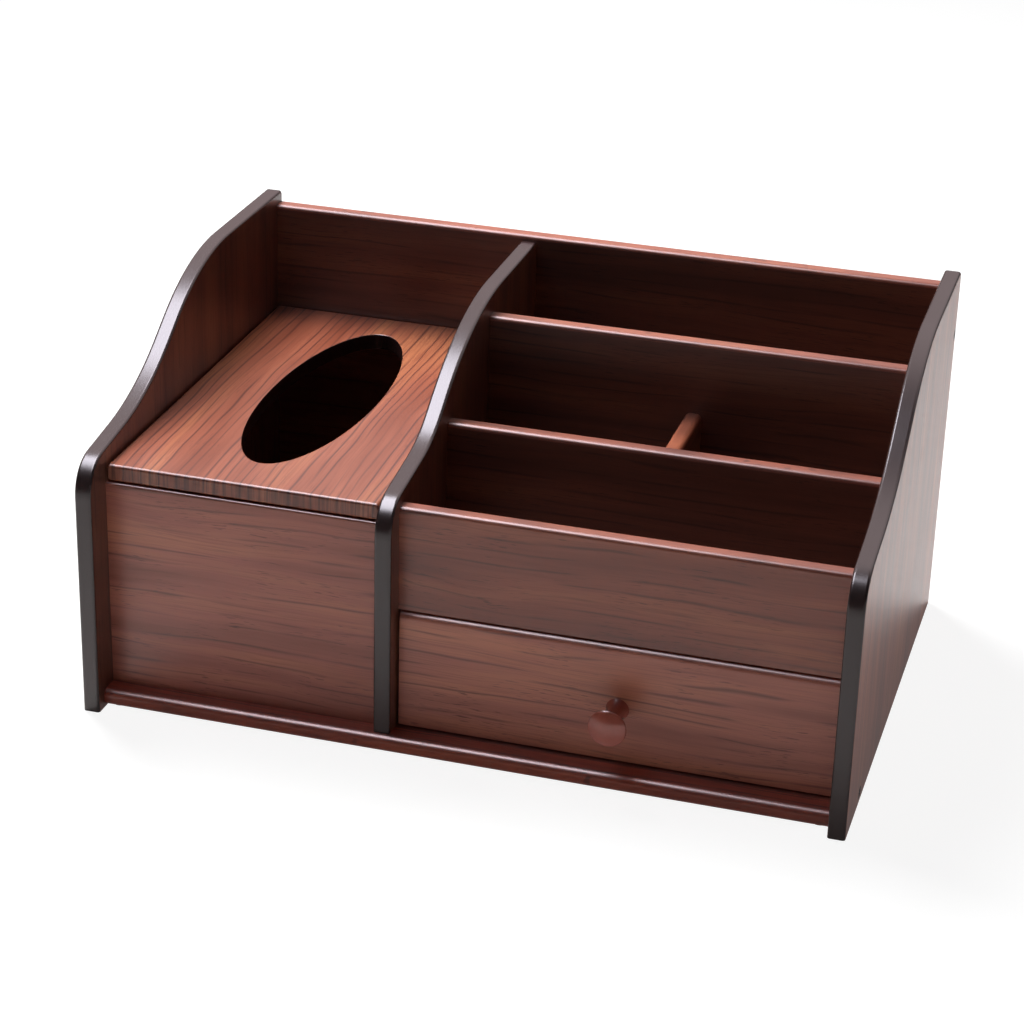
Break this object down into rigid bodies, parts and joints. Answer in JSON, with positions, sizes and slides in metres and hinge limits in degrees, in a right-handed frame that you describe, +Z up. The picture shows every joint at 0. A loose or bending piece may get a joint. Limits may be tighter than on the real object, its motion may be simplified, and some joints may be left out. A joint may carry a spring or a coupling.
{
  "type": "tissue box with drawer",
  "caption": "Wooden desk organiser with curved sides: a tissue bay under a slotted lid beside open compartments above a drawer.",
  "frame": {"origin": "on the ground under the middle of the box, the knob included", "axes": "+X to the right seen from the front, +Y to the rear, +Z up"},
  "size_m": [0.4, 0.276, 0.2],
  "materials": {
    "walnut_foil_board": "satin walnut foil, edges painted black-brown",
    "lid_foil_board": "satin walnut foil, grain from front to rear",
    "drawer_box_board": "foil-covered board",
    "lacquered_knob": "turned, stained and lacquered",
    "beech_dowel": "plain",
    "black_screw_steel": "black, cross recess",
    "zinc_screw_steel": "zinc plated, cross recess",
    "hinge_pin_steel": "plain",
    "pad_rubber": "matte"
  },
  "bodies": {
    "case": {"left_side_panel": "walnut_foil_board", "right_side_panel": "walnut_foil_board", "centre_upright": "walnut_foil_board", "back_panel": "walnut_foil_board", "base_board": "walnut_foil_board", "foot_pads": "pad_rubber", "tissue_front_panel": "walnut_foil_board", "lid_hinge_pins": "hinge_pin_steel", "organiser_floor": "walnut_foil_board", "upper_front_panel": "walnut_foil_board", "middle_partition": "walnut_foil_board", "rear_partition": "walnut_foil_board", "short_divider": "walnut_foil_board", "tissue_front_dowels": "beech_dowel", "upper_front_dowels": "beech_dowel", "floor_dowels": "beech_dowel", "partition_dowels": "beech_dowel", "divider_dowels": "beech_dowel", "side_panel_screws": "black_screw_steel", "base_screws": "black_screw_steel", "back_screws": "black_screw_steel"},
    "lid": {"tissue_lid": "lid_foil_board"},
    "drawer": {"drawer_front": "walnut_foil_board", "drawer_left_side": "drawer_box_board", "drawer_right_side": "drawer_box_board", "drawer_back": "drawer_box_board", "drawer_bottom": "drawer_box_board", "drawer_front_dowels": "beech_dowel", "drawer_back_screws": "zinc_screw_steel", "drawer_knob": "lacquered_knob", "knob_screw": "zinc_screw_steel"}
  },
  "joints": [
    {"name": "drawer_slide", "type": "slide", "parent": "case", "child": "drawer", "axis": [0, -1, 0], "range_m": [0, 0.17]},
    {"name": "lid_hinge", "type": "hinge", "parent": "case", "child": "lid", "pos_m": [-0.118, 0.1198, 0.1285], "axis": [-1, 0, 0], "range_deg": [0, 93]}
  ]
}
